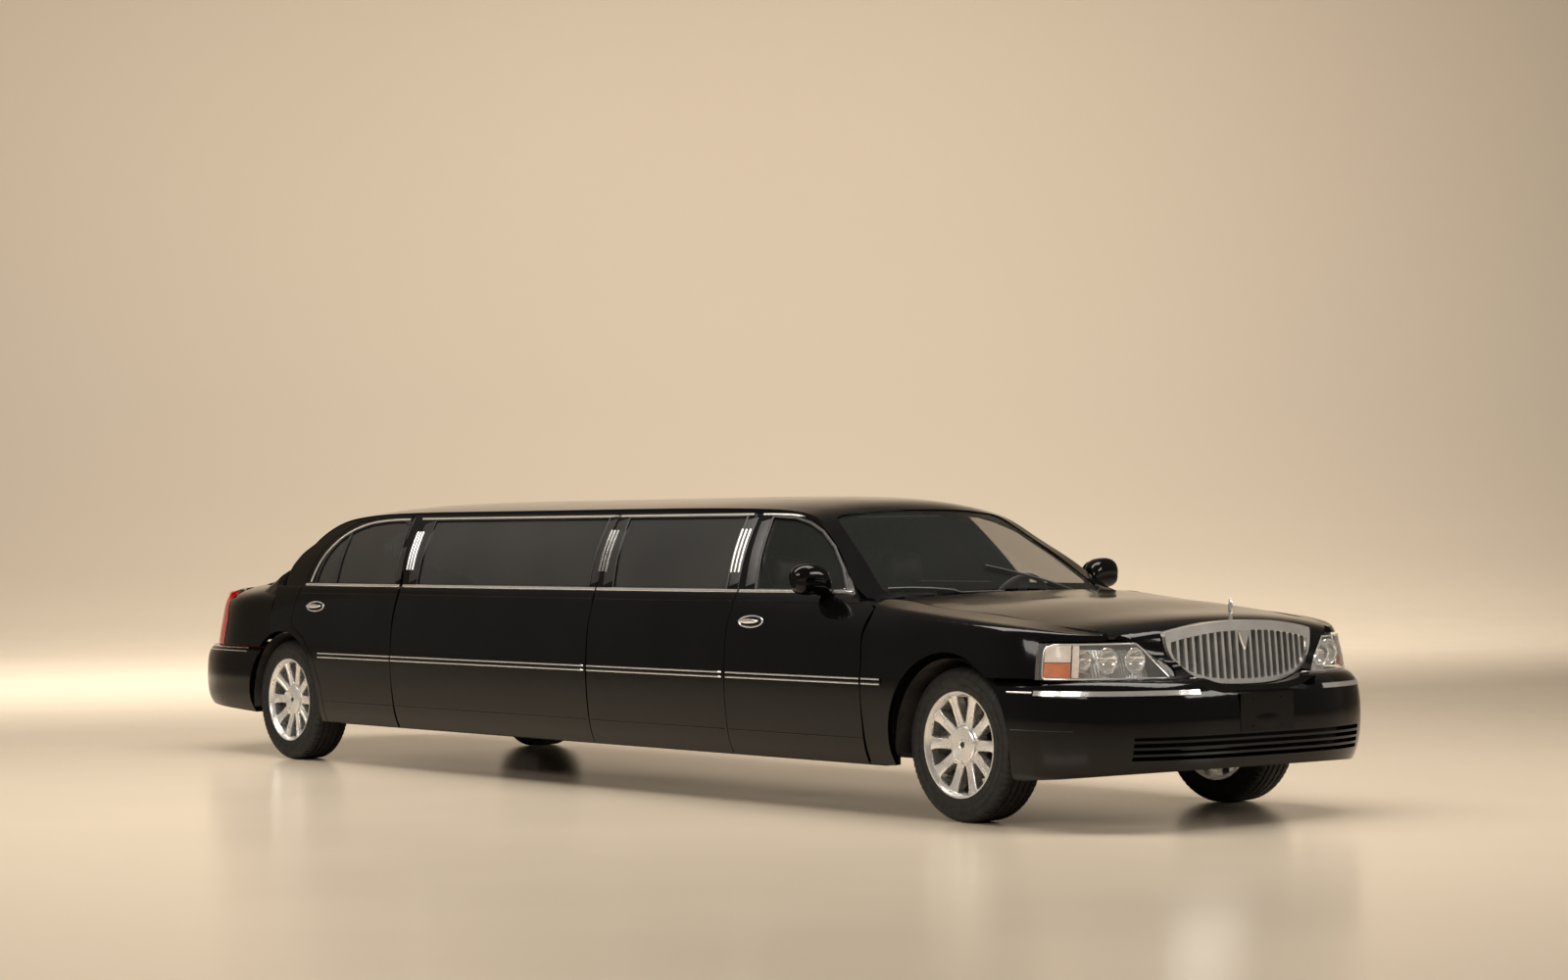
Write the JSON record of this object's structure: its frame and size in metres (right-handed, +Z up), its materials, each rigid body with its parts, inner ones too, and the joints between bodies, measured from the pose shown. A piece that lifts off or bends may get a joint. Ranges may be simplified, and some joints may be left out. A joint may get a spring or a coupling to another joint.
{
  "type": "stretch limousine",
  "caption": "Long black stretch limousine with hinged doors, hood and trunk lid, steered front wheels and turning road wheels.",
  "frame": {"origin": "on the ground, under the middle of the overall length and on the centreline", "axes": "+X to the front of the car, +Y to its left side, +Z up"},
  "size_m": [8.5197, 2.072, 1.4989],
  "materials": {
    "body_paint": "deep gloss black",
    "privacy_glass": "dark tinted, polished",
    "clear_glass": "clear, polished",
    "chrome_trim": "bright polished",
    "lamp_lens": "clear lens with amber corner",
    "tail_lens": "red lens",
    "underbody": "satin black",
    "cast_block": "rough cast",
    "pipe_steel": "dull steel",
    "cabin_leather": "dark grained",
    "cabin_trim": "dark grained moulding",
    "wheel_alloy": "machined and lacquered",
    "tyre_rubber": "black tread rubber"
  },
  "bodies": {
    "root": {"floor_frame": "underbody", "roof": "body_paint", "windshield": "clear_glass", "rear_window": "privacy_glass", "side_glass": "privacy_glass", "front_bumper": "body_paint", "rear_bumper": "body_paint", "headlamps": "lamp_lens", "taillamps": "tail_lens", "dashboard": "cabin_trim", "steering_wheel": "cabin_trim", "front_seats": "cabin_leather", "rear_seat": "cabin_leather", "partition": "cabin_trim", "engine": "cast_block", "exhaust": "pipe_steel", "fuel_tank": "pipe_steel", "rear_axle": "underbody", "front_suspension": "underbody", "pillar_bars": "chrome_trim", "cowl": "cabin_trim", "fender_left": "body_paint", "fender_right": "body_paint", "side_panel_left": "body_paint", "side_panel_right": "body_paint", "quarter_left": "body_paint", "quarter_right": "body_paint"},
    "front_door_left": {"door_front_left": "body_paint", "door_front_glass_left": "clear_glass", "mirror_left": "body_paint", "handle_front_left": "chrome_trim"},
    "rear_door_left": {"door_rear_left": "body_paint", "door_rear_glass_left": "privacy_glass", "handle_rear_left": "chrome_trim"},
    "front_door_right": {"door_front_right": "body_paint", "door_front_glass_right": "clear_glass", "mirror_right": "body_paint", "handle_front_right": "chrome_trim"},
    "rear_door_right": {"door_rear_right": "body_paint", "door_rear_glass_right": "privacy_glass", "handle_rear_right": "chrome_trim"},
    "hood": {"hood": "body_paint", "grille": "chrome_trim", "hood_ornament": "chrome_trim"},
    "trunk": {"trunk_lid": "body_paint"},
    "knuckle_left": {"knuckle_left": "underbody"},
    "knuckle_right": {"knuckle_right": "underbody"},
    "wheel_front_left": {"rim_front_left": "wheel_alloy", "tyre_front_left": "tyre_rubber"},
    "wheel_front_right": {"rim_front_right": "wheel_alloy", "tyre_front_right": "tyre_rubber"},
    "wheel_rear_left": {"rim_rear_left": "wheel_alloy", "tyre_rear_left": "tyre_rubber"},
    "wheel_rear_right": {"rim_rear_right": "wheel_alloy", "tyre_rear_right": "tyre_rubber"}
  },
  "joints": [
    {"name": "front_door_left_hinge", "type": "hinge", "parent": "root", "child": "front_door_left", "pos_m": [2.5625, 0.95, 0.6], "axis": [0, 0, -1], "range_deg": [0, 65]},
    {"name": "rear_door_left_hinge", "type": "hinge", "parent": "root", "child": "rear_door_left", "pos_m": [-1.6325, 0.95, 0.6], "axis": [0, 0, -1], "range_deg": [0, 65]},
    {"name": "front_door_right_hinge", "type": "hinge", "parent": "root", "child": "front_door_right", "pos_m": [2.5625, -0.95, 0.6], "axis": [0, 0, 1], "range_deg": [0, 65]},
    {"name": "rear_door_right_hinge", "type": "hinge", "parent": "root", "child": "rear_door_right", "pos_m": [-1.6325, -0.95, 0.6], "axis": [0, 0, 1], "range_deg": [0, 65]},
    {"name": "hood_hinge", "type": "hinge", "parent": "root", "child": "hood", "pos_m": [2.6285, 0, 0.985], "axis": [0, -1, 0], "range_deg": [0, 50]},
    {"name": "trunk_hinge", "type": "hinge", "parent": "root", "child": "trunk", "pos_m": [-3.0795, 0, 1.076], "axis": [0, 1, 0], "range_deg": [0, 70]},
    {"name": "steer_left", "type": "hinge", "parent": "root", "child": "knuckle_left", "pos_m": [3.2185, 0.745, 0.351], "axis": [0, 0, 1], "range_deg": [-33, 33]},
    {"name": "steer_right", "type": "hinge", "parent": "root", "child": "knuckle_right", "pos_m": [3.2185, -0.745, 0.351], "axis": [0, 0, 1], "range_deg": [-33, 33]},
    {"name": "wheel_front_left_spin", "type": "hinge", "parent": "knuckle_left", "child": "wheel_front_left", "pos_m": [3.2185, 0.805, 0.351], "axis": [0, 1, 0], "continuous": true},
    {"name": "wheel_front_right_spin", "type": "hinge", "parent": "knuckle_right", "child": "wheel_front_right", "pos_m": [3.2185, -0.805, 0.351], "axis": [0, 1, 0], "continuous": true},
    {"name": "wheel_rear_left_spin", "type": "hinge", "parent": "root", "child": "wheel_rear_left", "pos_m": [-2.8195, 0.833, 0.351], "axis": [0, 1, 0], "continuous": true},
    {"name": "wheel_rear_right_spin", "type": "hinge", "parent": "root", "child": "wheel_rear_right", "pos_m": [-2.8195, -0.833, 0.351], "axis": [0, 1, 0], "continuous": true}
  ],
  "couplings": [
    {"joint": "steer_right", "follows": "steer_left", "ratio": 1}
  ]
}
